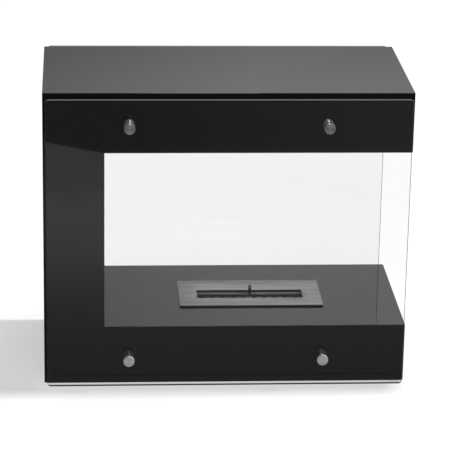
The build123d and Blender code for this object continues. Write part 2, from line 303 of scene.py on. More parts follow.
@dataclass(frozen=True)
class ClearGlass(Finish):
    """Toughened float glass with ground edges.

    It gives the eye an almost unseen sheet that takes a little light away, mirrors a little, and
    shows itself as a grey line where its ground edge scatters the light. Painted light makes that
    line paler along the top than down the sides, and painted shade makes it darkest on the lower
    edge, which turns to the floor, and on the narrow strip ground off beside it.
    """

    name: str = "toughened_glass_ground_edges"
    face_tint: str = "#fcfcfc"
    # Painted light and shade on the ground edges: paler where level, darker where upright, darkest
    # low down
    edge_tint: str = "#7c7d7c"
    side_edge_painted_shade: str = "#424443"
    lower_edge_painted_shade: str = "#1e2020"
    lower_edge_mm: float = 1.3
    lower_fade_mm: float = 0.65
    facing_span: tuple = (0.9, 0.98)
    refraction: float = 1.5
    edge_roughness: float = 0.45
    edge_clearness: float = 0.4
    grinding_mm: float = 0.6
    grinding_height_mm: float = 0.02

    def dress(self, nodes: Nodes) -> dict:
        """Make it clear where the surface faces front or back, and frosted along the ground edges.

        Args:
            nodes: The material's nodes.

        Returns:
            What feeds the shader's inputs.
        """
        normal = nodes.add("TexCoord", out="Normal")
        facing, level = (
            nodes.add("Math", (nodes.add("SeparateXYZ", {"Vector": normal}, axis),),
                      operation="ABSOLUTE") for axis in "YZ")
        place = nodes.add("TexCoord", out="Object")
        height = nodes.add("SeparateXYZ", {"Vector": place}, "Z")
        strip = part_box("front_glass_pane")[0].z + self.lower_edge_mm * MM
        faded = strip + self.lower_fade_mm * MM
        low_down = nodes.add("MapRange", (height, strip, faded, 1.0, 0.0))
        edge = nodes.add("MapRange", (facing, *self.facing_span, 1.0, 0.0))
        edge = nodes.add("Math", (edge, low_down), operation="MAXIMUM")
        noise = {"Vector": place, "Scale": per_size(self.grinding_mm), "Detail": NOISE_DETAIL}
        ground = nodes.add("Math", (nodes.add("TexNoise", noise), edge), operation="MULTIPLY")
        # Painted light and painted shade: level edges paler than upright ones, the lower strip
        # darkest
        tint = layered(nodes, linear(self.side_edge_painted_shade), (level, linear(self.edge_tint)),
                       (low_down, linear(self.lower_edge_painted_shade)))
        relief = {"Height": ground, "Distance": self.grinding_height_mm * MM}
        return {
            "Base Color": layered(nodes, linear(self.face_tint), (edge, tint)),
            "IOR": self.refraction,
            "Transmission Weight": nodes.add(
                "MapRange", (edge, 0.0, 1.0, 1.0, self.edge_clearness)),
            "Roughness": nodes.add("MapRange", (edge, 0.0, 1.0, 0.0, self.edge_roughness)),
            "Normal": nodes.add("Bump", relief),
        }


@dataclass(frozen=True)
class BrushedStainless(Finish):
    """Stainless sheet brushed along its length.

    It gives the eye a satin grey with long streaks, dull across the brushing and drawn out along
    it. The real grain is about 0.1 mm wide, too fine to show, so the streaks are drawn a few
    millimetres wide.
    """

    name: str = "brushed_stainless_steel"
    light: str = "#d6d6d5"
    dark: str = "#a9a9a8"
    cut_edge: str = "#464648"
    # The width and the length of the streaks, and of the broader bands that lie among them
    streak_mm: tuple = (2.2, 90.0)
    band_mm: tuple = (11.0, 150.0)
    streak_detail: float = 3.0
    polish: tuple = (0.3, 0.42)
    grain_height_mm: float = 0.01
    anisotropy: float = 0.6

    def dress(self, nodes: Nodes) -> dict:
        """Put streaks in colour, roughness and normal, and darken the edge that cutting leaves.

        Args:
            nodes: The material's nodes.

        Returns:
            What feeds the shader's inputs.
        """
        place = nodes.add("TexCoord", out="Object")
        streaks = []
        for width, length in (self.streak_mm, self.band_mm):
            drawn = nodes.add("Mapping", {"Vector": place, "Scale": (width / length, 1.0, 1.0)})
            noise = {"Vector": drawn, "Scale": per_size(width), "Detail": self.streak_detail}
            streaks.append(nodes.add("TexNoise", noise))
        both = nodes.add("Math", streaks, operation="ADD")
        sheet = toned(nodes, both, SUM_SPAN, self.dark, self.light)
        grain = streaks[0]
        relief = {"Height": grain, "Distance": self.grain_height_mm * MM}
        return {
            "Base Color": with_cut_edges(nodes, sheet, self.cut_edge),
            "Metallic": 1.0,
            "Roughness": nodes.add("MapRange", (grain, *NOISE_SPAN, *self.polish)),
            "Anisotropic": self.anisotropy,
            "Tangent": nodes.add("CombineXYZ", {"Y": 1.0}),
            "Normal": nodes.add("Bump", relief),
        }


@dataclass(frozen=True)
class TurnedStainless(Finish):
    """Stainless bar turned on a lathe about the standoff's axis.

    It gives the eye rings on the cap and the barrel, and a narrow bright line along the barrel.
    The two opposite fans of light that a turned face shows are painted light in its colour. The
    cutter's real feed of about 0.1 mm is drawn wider.
    """

    name: str = "turned_stainless_steel"
    light: str = "#dcdcd9"
    dark: str = "#b4b4b1"
    feed_mm: float = 0.45
    groove_height_mm: float = 0.006
    polish: tuple = (0.38, 0.46)
    anisotropy: float = 1.0
    across_the_grooves: float = 0.25
    bare: float = 1.0
    # The painted light's share of the colour's brightness beside the axis, and above and below it
    fans: tuple = (0.72, 1.06)
    fan_span: tuple = (0.1, 0.9)

    def dress(self, nodes: Nodes) -> dict:
        """Put in rings by the distance from the axis and along it, and painted fans of light about
        it.

        Args:
            nodes: The material's nodes.

        Returns:
            What feeds the shader's inputs.
        """
        offset = nodes.add("UVMap", out="UV", uv_map=AXIS_MAP)
        radius = nodes.add("VectorMath", (offset,), "Value", operation="LENGTH")
        rise = nodes.add("SeparateXYZ", {"Vector": offset}, "Y")
        steepness = nodes.add("Math", (rise, radius), operation="DIVIDE")
        steepness = nodes.add("Math", (steepness,), operation="ABSOLUTE")
        along = nodes.add("SeparateXYZ", {"Vector": nodes.add("TexCoord", out="Object")}, "Y")
        station = nodes.add("Math", (radius, along), operation="ADD")
        noise = {"W": station, "Scale": per_size(self.feed_mm), "Detail": NOISE_DETAIL}
        rings = nodes.add("TexNoise", noise, noise_dimensions="1D")
        steel = toned(nodes, rings, NOISE_SPAN, self.dark, self.light)
        # Painted light: the colour is brightened above and below the axis and darkened beside it
        fan = nodes.add("MapRange", (steepness, *self.fan_span, *self.fans))
        relief = {"Height": rings, "Distance": self.groove_height_mm * MM}
        return {
            "Base Color": nodes.add("VectorMath", {0: steel, "Scale": fan}, operation="SCALE"),
            "Metallic": self.bare,
            "Roughness": nodes.add("MapRange", (rings, *NOISE_SPAN, *self.polish)),
            "Anisotropic": self.anisotropy,
            "Anisotropic Rotation": self.across_the_grooves,
            "Tangent": nodes.add("Tangent", direction_type="RADIAL", axis="Y"),
            "Normal": nodes.add("Bump", relief),
        }


GLASS = ClearGlass()
BRUSHED = BrushedStainless()
TURNED = TurnedStainless()

# The same steel in the pane's shade, low on the casing, where the barrels look much darker
SHADED = replace(
    TURNED, name="turned_stainless_steel_in_shade", light="#9c9c9a", dark="#767674",
    fans=(0.4, 1.1))

# The caps' faces, brushed over after turning, so that they scatter a little light on all sides
FACED = replace(TURNED, name="faced_stainless_steel", bare=0.8)

# The caps just above the pale floor: their faces paler, with the fans turned, as painted light
PAINTED_PALE_FACED = replace(
    TURNED, name="painted_pale_faced_stainless_steel", light="#f0f0ee", dark="#cacac8", bare=0.4,
    fans=(1.04, 0.94))

# Black gloss, sprayed and stoved on sheet steel: a deep mirror, near black of itself, so that it
# shows only what it reflects, with the faint orange peel and the uneven polish of sprayed paint
ENAMEL = Clouded(
    "gloss_black_stove_enamel", light="#08080a", dark="#08080a", cloud_mm=60.0,
    polish=(0.015, 0.045), grain_mm=7.0, grain_height_mm=0.003, grain_detail=1.0, refraction=1.5)

# Stainless sheet as it left the mill, folded and welded: soft, cloudy grey without a direction
MILL = Clouded(
    "mill_finish_stainless_steel", light="#a3a3a1", dark="#868685", cloud_mm=35.0,
    polish=(0.28, 0.4), grain_mm=0.8, grain_height_mm=0.004, bare=1.0)

# The same steel after many fires: its oxide film scatters the light, so that it looks dry and even
HEAT_DULLED = replace(
    MILL, name="heat_dulled_stainless_steel", light="#b1afab", dark="#93918d",
    polish=(0.45, 0.6), bare=0.45)

# The cover over the burning wool: a face made paler as painted light, and near-black hole walls
COVER_PAINTED_LIGHT = replace(
    HEAT_DULLED, name="cover_stainless_steel_painted_light", light="#cfccc6", dark="#b3b0aa",
    cut_edge="#1a1918")

# Bright zinc on rolled steel threads: a cool light grey, a little blotched
ZINC = Clouded(
    "bright_zinc_plate", light="#c3c8cc", dark="#9aa1a6", cloud_mm=2.5, polish=(0.25, 0.4),
    bare=1.0)

# Clear soft PVC, punched into washers: a thin milky ring between the steel and the glass
PVC = Clouded(
    "clear_soft_pvc", light="#e6eaea", dark="#e6eaea", cloud_mm=3.0, polish=(0.18, 0.32),
    clearness=0.9, refraction=1.53)

# Moulded rubber: almost black, quite dull, with the fine grain of its mould
RUBBER = Grained(
    "moulded_black_rubber", light="#26262a", dark="#161618", cloud_mm=9.0,
    polish=(0.62, 0.8), grain_mm=0.5, grain_height_mm=0.02)

# Heat-resistant paint, sprayed matt: charcoal black with a dry, sandy surface
STOVE_PAINT = Grained(
    "matt_black_stove_paint", light="#242425", dark="#151516", cloud_mm=25.0,
    polish=(0.55, 0.7), grain_mm=0.6, grain_height_mm=0.03)

# The same paint on the handle, worn a little smoother by fingers
HANDLE_PAINT = Grained(
    "worn_black_stove_paint", light="#1b1b1c", dark="#111112", cloud_mm=4.0,
    polish=(0.5, 0.66), grain_mm=0.5, grain_height_mm=0.015)

# Grey primer over drawn tube: flat grey, mottled where it went on thin
PRIMER = Grained(
    "grey_primer_on_steel_tube", light="#4d4f52", dark="#3a3c3f", cloud_mm=30.0,
    polish=(0.5, 0.68), grain_mm=1.2, grain_height_mm=0.02)

# Calcium silicate board: chalky off-white, with pressed fibres lying in its plane
FIBRE_BOARD = Grained(
    "calcium_silicate_board", light="#d9d4c8", dark="#bdb7a9", cloud_mm=40.0,
    polish=(0.8, 0.95), grain_mm=1.5, grain_height_mm=0.12, stretch=(0.5, 0.5, 1.0))

# Ceramic wool: white felted fibre, soft and dry
WOOL = Grained(
    "felted_ceramic_wool", light="#efece4", dark="#cfcabd", cloud_mm=12.0,
    polish=(0.88, 1.0), grain_mm=1.4, grain_height_mm=0.35, stretch=(0.35, 1.0, 1.0))


# ---------------------------------------------------------------- modelling helpers

def near(*places: float) -> bool:
    """True if all of some places are the same to a hair."""
    return max(places) - min(places) < HAIR


def upright(a: Vector, b: Vector) -> bool:
    """True for an edge that stands up, by its two ends."""
    return near(a.x, b.x) and near(a.y, b.y)


def on_ring(a: Vector, b: Vector, inside: float) -> bool:
    """True for an edge square to the Y axis and further from it than inside, by its two ends."""
    return near(a.y, b.y) and min(a.xz.length, b.xz.length) > inside


def deselect_all() -> None:
    """Leave no object selected, in object mode."""
    bpy.ops.object.select_all(action="DESELECT")


def make_active(piece: Object) -> None:
    """Select one object alone and make it the active one.

    Args:
        piece: The object.
    """
    deselect_all()
    piece.select_set(True)
    bpy.context.view_layer.objects.active = piece


def settled(name: str) -> Object:
    """Name the primitive just added, and move its place, turn and size into its mesh.

    Args:
        name: The piece's name.

    Returns:
        The piece.
    """
    piece = bpy.context.active_object
    piece.name = name
    piece.data.name = name
    bpy.ops.object.transform_apply(location=True, rotation=True, scale=True)
    return piece


def add_block(name: str, low: Vector, high: Vector) -> Object:
    """Add a cube drawn out to fill the space between two corners, ready to be shaped.

    Args:
        name: The piece's name.
        low: The lowest corner.
        high: The highest corner.

    Returns:
        The block.
    """
    deselect_all()
    bpy.ops.mesh.primitive_cube_add(size=1.0, location=(low + high) / 2, scale=high - low)
    return settled(name)


def add_rod(name: str, radius: float, start: float, end: float, sides: int,
            standing: bool = False) -> Object:
    """Add a round bar, ready to be shaped.

    Args:
        name: The piece's name.
        radius: The bar's radius.
        start: Where it begins along its axis.
        end: Where it ends.
        sides: The number of sides that stand for the round.
        standing: True for a bar about the Z axis, False for one about the Y axis.

    Returns:
        The bar.
    """
    deselect_all()
    axis, turn = (Z_AXIS, 0.0) if standing else (Y_AXIS, math.pi / 2)
    bpy.ops.mesh.primitive_cylinder_add(
        vertices=sides, radius=radius, depth=end - start, location=axis * (start + end) / 2,
        rotation=(turn, 0.0, 0.0))
    return settled(name)


@contextmanager
def editing(piece: Object) -> Iterator[None]:
    """Edit mode on one piece, with nothing selected at the start.

    Args:
        piece: The mesh object to edit.
    """
    make_active(piece)
    bpy.ops.object.mode_set(mode="EDIT")
    bpy.ops.mesh.select_all(action="DESELECT")
    yield
    bpy.ops.object.mode_set(mode="OBJECT")


def pick(piece: Object, what: Pick, test: Callable[[Vector, Vector], bool]) -> None:
    """Select the faces or edges that pass a test, in edit mode, and nothing else.

    Args:
        piece: The mesh object in edit mode.
        what: Faces or edges.
        test: Takes a face's centre and its normal, or the places of an edge's two ends.
    """
    bpy.ops.mesh.select_mode(type=what.value)
    bpy.ops.mesh.select_all(action="DESELECT")
    mesh = bmesh.from_edit_mesh(piece.data)
    mesh.normal_update()
    if what is Pick.FACES:
        found = [face for face in mesh.faces if test(face.calc_center_median(), face.normal)]
    else:
        found = [edge for edge in mesh.edges if test(edge.verts[0].co, edge.verts[1].co)]
    for item in found:
        item.select_set(True)
    bmesh.update_edit_mesh(piece.data)


def round_edges(piece: Object, test: Callable[[Vector, Vector], bool], size: float,
                steps: int = 3) -> None:
    """Round the edges that pass a test, in edit mode."""
    pick(piece, Pick.EDGES, test)
    bpy.ops.mesh.bevel(offset=size, segments=steps, affect="EDGES")


def extrude(*by: float) -> None:
    """Extrude what is selected, in edit mode, by a step in X, Y and Z."""
    bpy.ops.mesh.extrude_region_move(TRANSFORM_OT_translate={"value": by})


def cut_by(place: Vector, normal: Vector, remove: bool) -> None:
    """Cut the piece in edit mode by a plane, and if asked, close it and remove what is beyond."""
    bpy.ops.mesh.select_all(action="SELECT")
    bpy.ops.mesh.bisect(
        plane_co=place, plane_no=normal, use_fill=remove, clear_outer=remove, threshold=MERGE)


def split_at(axis: Vector, *places: float) -> None:
    """Divide the faces of the piece in edit mode at places along an axis."""
    for place in places:
        cut_by(axis * place, axis, False)


def mend() -> None:
    """Merge the doubled points of the piece in edit mode, and turn its faces outwards."""
    bpy.ops.mesh.select_all(action="SELECT")
    bpy.ops.mesh.remove_doubles(threshold=MERGE)
    bpy.ops.mesh.normals_make_consistent(inside=False)


def tidied(piece: Object, smooth_below: float = 35.0) -> Object:
    """Mend a piece and smooth what is rounded.

    Args:
        piece: The mesh object.
        smooth_below: The angle in degrees between two faces up to which their edge looks smooth.

    Returns:
        The same object.
    """
    with editing(piece):
        mend()
    bpy.ops.object.shade_smooth_by_angle(angle=math.radians(smooth_below))
    return piece


def modify(piece: Object, kind: str, **settings: object) -> None:
    """Add a modifier with its settings and apply it.

    Args:
        piece: The mesh object.
        kind: The modifier's type.
        settings: The modifier's own settings.
    """
    make_active(piece)
    bpy.ops.object.modifier_add(type=kind)
    modifier = piece.modifiers[-1]
    for key, value in settings.items():
        setattr(modifier, key, value)
    bpy.ops.object.modifier_apply(modifier=modifier.name)


def drilled_rod(name: str, radius: float, bore: float, start: float, end: float, rim: float,
                sides: int) -> Object:
    """Model a round bar along Y with a bore through it and rounded rims.

    Args:
        name: The piece's name.
        radius: The bar's radius.
        bore: The bore's radius.
        start: Where the bar begins.
        end: Where the bar ends.
        rim: The rounding of its outer rims.
        sides: The number of sides that stand for the round.

    Returns:
        The bar.
    """
    rod = add_rod(name, radius, start, end, sides)
    with editing(rod):
        pick(rod, Pick.FACES, lambda centre, normal: abs(normal.y) > FACING)
        bpy.ops.mesh.inset(thickness=radius - bore)
        bpy.ops.mesh.bridge_edge_loops()
        round_edges(rod, lambda a, b: on_ring(a, b, (radius + bore) / 2), rim)
    return rod


def tray_skin(name: str, low: Vector, high: Vector, corner: float, steps: int,
              flange: float = 0.0) -> Object:
    """Model an open tray with rounded corners, as a skin without thickness.

    Args:
        name: The piece's name.
        low: The lowest corner of the space in it.
        high: The highest corner.
        corner: The rounding.
        steps: How many faces the rounding has.
        flange: The width of the flange round its mouth.

    Returns:
        The skin.
    """
    tray = add_block(name, low, high)
    with editing(tray):
        pick(tray, Pick.FACES, lambda centre, normal: normal.z > FACING)
        bpy.ops.mesh.delete(type="FACE")
        round_edges(tray, lambda a, b: not near(a.z, b.z) or near(a.z, low.z), corner, steps)
        if flange:
            pick(tray, Pick.EDGES, lambda a, b: near(a.z, b.z, high.z))
            bpy.ops.mesh.extrude_region_move()
            middle, reach = (low + high) / 2, (high - low) / 2
            wider = (1 + flange / reach.x, 1 + flange / reach.y, 1.0)
            bpy.ops.transform.resize(value=wider, center_override=(middle.x, middle.y, high.z))
        mend()
    return tray


def note_axis(piece: Object) -> None:
    """Keep each corner's offset from the turning axis, in metres, as the piece's only UV map.

    Args:
        piece: The mesh object, turned about the Y axis.
    """
    maps = piece.data.uv_layers
    while maps:
        maps.remove(maps[0])
    offsets = maps.new(name=AXIS_MAP)
    for loop in piece.data.loops:
        offsets.data[loop.index].uv = piece.data.vertices[loop.vertex_index].co.xz


def copied(pattern: Object, name: str, place: Matrix) -> Object:
    """Copy a modelled pattern with its own mesh, moved to its place.

    Args:
        pattern: The piece to copy.
        name: The copy's name.
        place: The move and turn.

    Returns:
        The copy.
    """
    piece = pattern.copy()
    piece.data = pattern.data.copy()
    piece.name = name
    piece.data.name = name
    piece.data.transform(place)
    bpy.context.scene.collection.objects.link(piece)
    return piece


def dress_node(node: str, finish: Finish) -> None:
    """Give a CAD node, whose shape is right as it is, its finish.

    Args:
        node: The node's name.
        finish: Its finish.
    """
    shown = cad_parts[node]
    if not shown.material_slots:
        shown.data.materials.append(finish.material())
    for slot in shown.material_slots:
        slot.material = finish.material()


def stand_in(piece: Object, node: str, body: Body, finish: Finish) -> None:
    """Let a modelled piece stand for a CAD node.

    Args:
        piece: The modelled piece.
        node: The node that it stands for.
        body: The body that it moves with.
        finish: Its finish.
    """
    piece.data.materials.clear()
    piece.data.materials.append(finish.material())
    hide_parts(node)
    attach(piece, body.value)


# ---------------------------------------------------------------- the object

@dataclass
class Casing:
    """The gloss-black C of beam, column and base, its hidden frame, the well and the feet."""

    panels: tuple = (
        "top_panel", "beam_end_panel", "beam_soffit", "column_inner_panel", "hearth_panel",
        "base_end_panel", "bottom_panel", "column_side_panel", "front_panel", "rear_panel",
    )
    tubes: tuple = (
        "beam_frame_arms", "base_frame_rails", "column_frame_posts", "frame_cross_ties")
    foot_radius: float = 0.012
    foot_rim: float = 0.0008
    foot_hollow_rim: float = 0.0045
    foot_hollow_depth: float = 0.0009
    foot_sides: int = 48
    well_wall: float = 0.0015
    well_flange: float = 0.012
    well_corner: float = 0.004
    well_corner_steps: int = 3

    def build(self) -> None:
        """Dress the panels, the frame and the board, and model the feet and the well."""
        for node in self.panels:
            dress_node(node, ENAMEL)
        for node in self.tubes:
            dress_node(node, PRIMER)
        dress_node("beam_insulation_board", FIBRE_BOARD)
        self.feet()
        self.well()
        LOG.info("casing: %d enamelled panels, %d tube nodes, board, feet and well",
                 len(self.panels), len(self.tubes))

    def feet(self) -> None:
        """Four rubber feet, moulded with a rounded rim and a shallow hollow underneath."""
        low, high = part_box("rubber_feet")
        pattern = add_rod("foot_pattern", self.foot_radius, low.z, high.z, self.foot_sides, True)
        with editing(pattern):
            pick(pattern, Pick.FACES, lambda centre, normal: normal.z < -FACING)
            bpy.ops.mesh.inset(thickness=self.foot_hollow_rim)
            extrude(0.0, 0.0, self.foot_hollow_depth)
            round_edges(pattern, lambda a, b: near(a.z, b.z, low.z)
                        and near(a.xy.length, b.xy.length), self.foot_rim)
        tidied(pattern)
        spots = [(x, y) for x in (low.x + self.foot_radius, high.x - self.foot_radius)
                 for y in (low.y + self.foot_radius, high.y - self.foot_radius)]
        for number, (x, y) in enumerate(spots, start=1):
            foot = copied(pattern, f"rubber_foot_{number}", Matrix.Translation((x, y, 0.0)))
            stand_in(foot, "rubber_feet", Body.CASING, RUBBER)
        bpy.data.objects.remove(pattern)

    def well(self) -> None:
        """The pressed tray under the hearth, with rounded corners and a flange."""
        low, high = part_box("burner_well")
        side = self.well_flange + self.well_wall
        inner_low = low + Vector((side, side, self.well_wall))
        inner_high = high - Vector((side, side, 0.0))
        tray = tray_skin("burner_well_tray", inner_low, inner_high, self.well_corner,
                         self.well_corner_steps, side)
        modify(tray, "SOLIDIFY", thickness=self.well_wall, offset=1.0)
        tidied(tray)
        stand_in(tray, "burner_well", Body.CASING, STOVE_PAINT)


@dataclass
class Glazing:
    """The two clear panes."""

    panes: tuple = ("front_glass_pane", "rear_glass_pane")

    def build(self) -> None:
        """Dress the panes, which let the lamps' light through as real glass does."""
        for node in self.panes:
            dress_node(node, GLASS)
            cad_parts[node].visible_shadow = False
            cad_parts[node].visible_diffuse = False
        LOG.info("glazing: %d panes", len(self.panes))


@dataclass
class Standoffs:
    """The four standoffs on each side: barrel, washers, cap, stud and nut."""

    radius: float = 0.009
    bore: float = 0.0041
    barrel_rim: float = 0.0004
    cap_rim: float = 0.0009
    cap_bore_depth: float = 0.0035
    cap_dish_rim: float = 0.0007
    cap_dish_depth: float = 0.00012
    washer_radius: float = 0.008
    washer_bore: float = 0.0045
    washer_rim: float = 0.0003
    stud_radius: float = 0.004
    thread_pitch: float = 0.00125
    thread_depth: float = 0.0007
    thread_steps: int = 24
    nut_flats: int = 6
    nut_flat: float = 0.0065
    nut_chamfer: float = 0.0009
    # How far the nut's blank stands over the hexagon's corners, so that all its flats meet
    nut_allowance: float = 0.00005
    sides: int = 72

    def build(self) -> None:
        """Model each fitting once, on the Y axis, and copy it to its eight places."""
        # How each is modelled, its finish in the lower and in the upper row, and its slot
        fittings = {
            "standoff_barrels": (self.barrel, SHADED, TURNED, "standoff_steel"),
            "standoff_caps": (self.cap, PAINTED_PALE_FACED, FACED, "standoff_steel"),
            "inner_washers": (self.washer, PVC, PVC, "clear_washer"),
            "outer_washers": (self.washer, PVC, PVC, "clear_washer"),
            "standoff_studs": (self.stud, ZINC, ZINC, "thread_steel"),
            "standoff_nuts": (self.nut, ZINC, ZINC, "thread_steel"),
        }
        low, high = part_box("front_standoff_caps")
        axes = [(x, z) for z in (low.z + self.radius, high.z - self.radius)
                for x in (low.x + self.radius, high.x - self.radius)]
        half_way_up = (low.z + high.z) / 2
        for group, (model, lower, upper, slot) in fittings.items():
            start, end = (corner.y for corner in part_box(f"{Side.FRONT.prefix}_{group}"))
            pattern = tidied(model(f"{group}_pattern", start, end))
            note_axis(pattern)
            for side in Side:
                node = f"{side.prefix}_{group}"
                for number, (x, z) in enumerate(axes, start=1):
                    place = Matrix.Translation((x, 0.0, z)) @ side.turn
                    piece = copied(pattern, f"{node}_{number}", place)
                    # By row: darker barrels and paler caps low down, which is painted shade and
                    # painted light
                    stand_in(piece, node, Body.CASING, upper if z > half_way_up else lower)
            LOG.info("standoffs: %s, %d faces each", group, len(pattern.data.polygons))
            bpy.data.objects.remove(pattern)

    def barrel(self, name: str, start: float, end: float) -> Object:
        """The spacer between the casing and the pane, from start to end along Y."""
        return drilled_rod(name, self.radius, self.bore, start, end, self.barrel_rim, self.sides)

    def washer(self, name: str, start: float, end: float) -> Object:
        """A clear washer, a hair clear of the glass and the steel beside it."""
        return drilled_rod(name, self.washer_radius, self.washer_bore, start + HAIR, end - HAIR,
                           self.washer_rim, self.sides)

    def cap(self, name: str, start: float, end: float) -> Object:
        """Model the screwed cap: a rounded and faintly dished face, and a blind bore behind.

        Args:
            name: The piece's name.
            start: Where its face lies along Y.
            end: Where its back lies.

        Returns:
            The cap.
        """
        cap = add_rod(name, self.radius, start, end, self.sides)
        with editing(cap):
            pick(cap, Pick.FACES, lambda centre, normal: normal.y > FACING)
            bpy.ops.mesh.inset(thickness=self.radius - self.bore)
            extrude(0.0, -self.cap_bore_depth, 0.0)
            round_edges(cap, lambda a, b: near(a.y, b.y, start), self.cap_rim)
            pick(cap, Pick.FACES,
                 lambda centre, normal: normal.y < -FACING and near(centre.y, start))
            bpy.ops.mesh.inset(thickness=self.cap_dish_rim)
            bpy.ops.mesh.inset(thickness=self.cap_dish_rim)
            bpy.ops.transform.translate(value=(0.0, self.cap_dish_depth, 0.0))
            inside = (self.radius + self.bore) / 2
            round_edges(cap, lambda a, b: near(a.y, end) and on_ring(a, b, inside),
                        self.barrel_rim)
        return cap

    def stud(self, name: str, start: float, end: float) -> Object:
        """Model the threaded rod: a thread's outline, screwed along Y and cut square at both ends.

        Args:
            name: The piece's name.
            start: Where it begins along Y.
            end: Where it ends.

        Returns:
            The rod.
        """
        deselect_all()
        bpy.ops.mesh.primitive_plane_add(size=self.thread_pitch)
        stud = settled(name)
        with editing(stud):
            bpy.ops.mesh.select_mode(type="VERT")
            bpy.ops.mesh.select_all(action="SELECT")
            bpy.ops.mesh.merge(type="CENTER")
            root = self.stud_radius - self.thread_depth
            bpy.ops.transform.translate(value=(root, start - self.thread_pitch, 0.0))
            for out in (self.thread_depth, -self.thread_depth):
                extrude(out, self.thread_pitch / 2, 0.0)
        # What lies before the start and beyond the end is cut off
        turns = math.ceil((end - start) / self.thread_pitch) + 2
        modify(
            stud, "SCREW", axis="Y", angle=math.tau, steps=self.thread_steps,
            render_steps=self.thread_steps, screw_offset=self.thread_pitch, iterations=turns,
            use_merge_vertices=True, merge_threshold=MERGE)
        with editing(stud):
            cut_by(Y_AXIS * start, -Y_AXIS, True)
            cut_by(Y_AXIS * end, Y_AXIS, True)
        return stud

    def nut(self, name: str, start: float, end: float) -> Object:
        """Model a hexagon nut: a chamfered round blank, bored, with six flats cut from it.

        Args:
            name: The piece's name.
            start: Where it begins along Y.
            end: Where it ends.

        Returns:
            The nut.
        """
        half_flat = math.pi / self.nut_flats
        blank = self.nut_flat / math.cos(half_flat) + self.nut_allowance
        nut = drilled_rod(name, blank, self.bore, start, end, self.nut_chamfer, self.sides)
        with editing(nut):
            for flat in range(self.nut_flats):
                turn = (2 * flat + 1) * half_flat
                away = Vector((math.cos(turn), 0.0, math.sin(turn)))
                cut_by(away * self.nut_flat, away, True)
        return nut


@dataclass
class Burner:
    """The insert that lifts out of the hearth: slotted plate, fuel box, wool, cover and guides."""

    slot_end_margin: float = 0.0315
    slot_front_margin: float = 0.035
    slot_back_margin: float = 0.047
    plate_corner: float = 0.002
    plate_corner_steps: int = 5
    plate_edge: float = 0.0006
    slot_corner: float = 0.001
    slot_edge: float = 0.0003
    slot_edge_steps: int = 2
    box_wall: float = 0.0015
    box_corner: float = 0.003
    box_corner_steps: int = 4
    wool_gap: float = 0.0012
    wool_sink: float = 0.004
    wool_corner: float = 0.003
    wool_corner_steps: int = 2
    wool_cell: float = 0.003
    wool_lump: float = 0.009
    wool_height: float = 0.0018
    wool_smooth_below: float = 60.0

    def build(self) -> None:
        """Model the plate, the box and the wool, and dress the rest."""
        self.plate()
        self.box()
        self.wool()
        dress_node("wool_cover", COVER_PAINTED_LIGHT)
        for node in ("slider_guide_left", "slider_guide_right"):
            dress_node(node, MILL)
        LOG.info("burner: plate, box, wool, cover and guides")

    def plate(self) -> None:
        """The brushed plate: cut in nine, its middle taken out as the slot, its edges rounded."""
        low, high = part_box("burner_top_plate")
        middle = (low + high) / 2
        slot_low = low + Vector((self.slot_end_margin, self.slot_front_margin, 0.0))
        slot_high = high - Vector((self.slot_end_margin, self.slot_back_margin, 0.0))

        def at_corner(point: Vector) -> bool:
            """True for a point at an outer corner, as far from the middle as any."""
            return near((point - middle).xy.length, (high - middle).xy.length)

        def at_side(point: Vector) -> bool:
            """True for a point no further from the outer sides than the rounded corners reach."""
            inwards = (*(point - low).xy, *(high - point).xy)
            return min(inwards) < self.plate_corner + HAIR

        def in_slot(point: Vector) -> bool:
            """True for a point over the slot or on its edge."""
            return min(*(point - slot_low).xy, *(slot_high - point).xy) > -HAIR

        plate = add_block("burner_plate_brushed", low, high)
        with editing(plate):
            split_at(X_AXIS, slot_low.x, slot_high.x)
            split_at(Y_AXIS, slot_low.y, slot_high.y)
            pick(plate, Pick.FACES,
                 lambda centre, normal: abs(normal.z) > FACING and in_slot(centre))
            bpy.ops.mesh.bridge_edge_loops()
            round_edges(plate, lambda a, b: upright(a, b) and at_corner(a), self.plate_corner,
                        self.plate_corner_steps)
            round_edges(plate, lambda a, b: upright(a, b) and in_slot(a), self.slot_corner)
            round_edges(plate, lambda a, b: near(a.z, b.z, high.z) and at_side(a) and at_side(b),
                        self.plate_edge)
            round_edges(plate, lambda a, b: near(a.z, b.z, high.z) and in_slot(a) and in_slot(b),
                        self.slot_edge, self.slot_edge_steps)
        tidied(plate)
        stand_in(plate, "burner_top_plate", Body.BURNER, BRUSHED)

    def box(self) -> None:
        """The open fuel box, folded with rounded corners."""
        box = tray_skin("fuel_box_folded", *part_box("fuel_box"), self.box_corner,
                        self.box_corner_steps)
        modify(box, "SOLIDIFY", thickness=self.box_wall, offset=-1.0)
        tidied(box)
        stand_in(box, "fuel_box", Body.BURNER, MILL)

    def wool(self) -> None:
        """The ceramic wool: a soft-cornered pad whose felted surface is lumpy."""
        low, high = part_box("ceramic_wool_block")
        high.z -= self.wool_sink
        room = Vector((self.wool_gap, self.wool_gap, self.wool_gap))
        wool = add_block("ceramic_wool_pad", low + room, high - room)
        margin = self.wool_gap + self.wool_corner
        with editing(wool):
            round_edges(wool, lambda a, b: True, self.wool_corner, self.wool_corner_steps)
            for axis, start, end in zip((X_AXIS, Y_AXIS, Z_AXIS), low, high):
                flat = end - start - 2 * margin
                cells = round(flat / self.wool_cell)
                split_at(axis, *(start + margin + flat * cell / cells for cell in range(1, cells)))
        lumps = bpy.data.textures.new("wool_lumps", "CLOUDS")
        lumps.noise_scale = self.wool_lump
        modify(wool, "DISPLACE", texture=lumps, strength=self.wool_height, mid_level=0.5,
               texture_coords="LOCAL")
        tidied(wool, self.wool_smooth_below)
        stand_in(wool, "ceramic_wool_block", Body.BURNER, WOOL)


